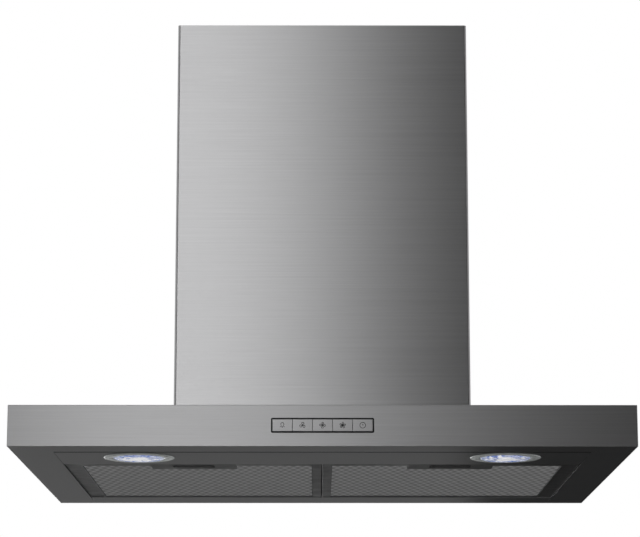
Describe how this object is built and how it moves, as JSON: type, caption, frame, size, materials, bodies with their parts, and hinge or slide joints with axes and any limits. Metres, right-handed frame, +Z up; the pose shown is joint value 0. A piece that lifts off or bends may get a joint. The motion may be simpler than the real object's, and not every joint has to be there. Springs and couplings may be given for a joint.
{
  "type": "island range hood",
  "caption": "Slim canopy range hood hung from the ceiling, with a square telescopic chimney, tilting grease filters, round lamps and a push-button panel.",
  "frame": {"origin": "centre of the ceiling plate's top face, where the hood hangs from the ceiling", "axes": "+Z up into the ceiling, +X to the right of someone who faces the control panel, -Y towards them"},
  "size_m": [0.6, 0.5009, 0.4524],
  "materials": {
    "brushed_steel": "stainless steel sheet with a fine horizontal brushed grain",
    "galvanised_steel": "galvanised sheet steel, dull with faint spangle",
    "filter_aluminium": "satin rolled aluminium filter frame",
    "filter_mesh": "expanded aluminium mesh with small diamond openings",
    "lamp_bezel": "satin light grey metal ring",
    "lamp_lens": "frosted lens with a cool white tint",
    "button_steel": "brushed steel push button with a printed symbol",
    "black_plastic": "black moulded plastic with a fine texture",
    "grey_plastic": "grey moulded plastic",
    "circuit_board": "green circuit board",
    "motor_steel": "dark pressed steel motor can",
    "screw_steel": "bright zinc-plated screw"
  },
  "bodies": {
    "ceiling_frame": {"ceiling_plate": "galvanised_steel", "chimney_upper_front": "brushed_steel", "chimney_upper_rear": "brushed_steel", "upper_upright_1": "galvanised_steel", "upper_upright_2": "galvanised_steel", "upper_upright_3": "galvanised_steel", "upper_upright_4": "galvanised_steel"},
    "hood": {"canopy_shell": "brushed_steel", "lamp_panel": "brushed_steel", "rear_strip": "brushed_steel", "chimney_lower_front": "brushed_steel", "chimney_lower_rear": "brushed_steel", "motor_box": "galvanised_steel", "motor_bracket": "galvanised_steel", "lamp_bezel_left": "lamp_bezel", "lamp_bezel_right": "lamp_bezel", "lamp_lens_left": "lamp_lens", "lamp_lens_right": "lamp_lens", "lamp_body_left": "grey_plastic", "lamp_body_right": "grey_plastic", "led_driver": "grey_plastic", "capacitor": "grey_plastic", "scroll_left": "grey_plastic", "scroll_right": "grey_plastic", "switch_frame": "black_plastic", "switch_housing": "black_plastic", "outlet_collar": "black_plastic", "junction_box": "black_plastic", "junction_lid": "black_plastic", "cable_gland": "black_plastic", "switch_board": "circuit_board", "motor": "motor_steel", "lower_upright_1": "galvanised_steel", "lock_screw_1": "screw_steel", "lower_upright_2": "galvanised_steel", "lock_screw_2": "screw_steel", "lower_upright_3": "galvanised_steel", "lock_screw_3": "screw_steel", "lower_upright_4": "galvanised_steel", "lock_screw_4": "screw_steel"},
    "filter_left": {"filter_frame_left": "filter_aluminium", "filter_mesh_left": "filter_mesh", "latch_plate_left": "filter_aluminium"},
    "filter_right": {"filter_frame_right": "filter_aluminium", "filter_mesh_right": "filter_mesh", "latch_plate_right": "filter_aluminium"},
    "latch_left": {"latch_slider_left": "filter_aluminium"},
    "latch_right": {"latch_slider_right": "filter_aluminium"},
    "impeller": {"impeller": "galvanised_steel"},
    "damper_flap_left": {"damper_flap_left": "black_plastic"},
    "damper_flap_right": {"damper_flap_right": "black_plastic"},
    "button_light": {"button_light": "button_steel"},
    "button_speed_1": {"button_speed_1": "button_steel"},
    "button_speed_2": {"button_speed_2": "button_steel"},
    "button_speed_3": {"button_speed_3": "button_steel"},
    "button_timer": {"button_timer": "button_steel"}
  },
  "joints": [
    {"name": "height_adjust", "type": "slide", "parent": "ceiling_frame", "child": "hood", "axis": [0, 0, -1], "range_m": [0, 0.3]},
    {"name": "filter_left_tilt", "type": "hinge", "parent": "hood", "child": "filter_left", "pos_m": [-0.13, 0.1927, -0.4494], "axis": [1, 0, 0], "range_deg": [0, 80]},
    {"name": "filter_right_tilt", "type": "hinge", "parent": "hood", "child": "filter_right", "pos_m": [0.13, 0.1927, -0.4494], "axis": [1, 0, 0], "range_deg": [0, 80]},
    {"name": "latch_left_slide", "type": "slide", "parent": "filter_left", "child": "latch_left", "axis": [0, 1, 0], "range_m": [0, 0.006], "stiffness_N_per_m": 300},
    {"name": "latch_right_slide", "type": "slide", "parent": "filter_right", "child": "latch_right", "axis": [0, 1, 0], "range_m": [0, 0.006], "stiffness_N_per_m": 300},
    {"name": "impeller_spin", "type": "hinge", "parent": "hood", "child": "impeller", "pos_m": [0, 0.04, -0.3177], "axis": [1, 0, 0], "continuous": true},
    {"name": "damper_left_swing", "type": "hinge", "parent": "hood", "child": "damper_flap_left", "pos_m": [-0.0021, 0, -0.2074], "axis": [0, 1, 0], "range_deg": [0, 75]},
    {"name": "damper_right_swing", "type": "hinge", "parent": "hood", "child": "damper_flap_right", "pos_m": [0.0021, 0, -0.2074], "axis": [0, -1, 0], "range_deg": [0, 75]},
    {"name": "button_light_press", "type": "slide", "parent": "hood", "child": "button_light", "axis": [0, 1, 0], "range_m": [0, 0.002], "stiffness_N_per_m": 400},
    {"name": "button_speed_1_press", "type": "slide", "parent": "hood", "child": "button_speed_1", "axis": [0, 1, 0], "range_m": [0, 0.002], "stiffness_N_per_m": 400},
    {"name": "button_speed_2_press", "type": "slide", "parent": "hood", "child": "button_speed_2", "axis": [0, 1, 0], "range_m": [0, 0.002], "stiffness_N_per_m": 400},
    {"name": "button_speed_3_press", "type": "slide", "parent": "hood", "child": "button_speed_3", "axis": [0, 1, 0], "range_m": [0, 0.002], "stiffness_N_per_m": 400},
    {"name": "button_timer_press", "type": "slide", "parent": "hood", "child": "button_timer", "axis": [0, 1, 0], "range_m": [0, 0.002], "stiffness_N_per_m": 400}
  ]
}
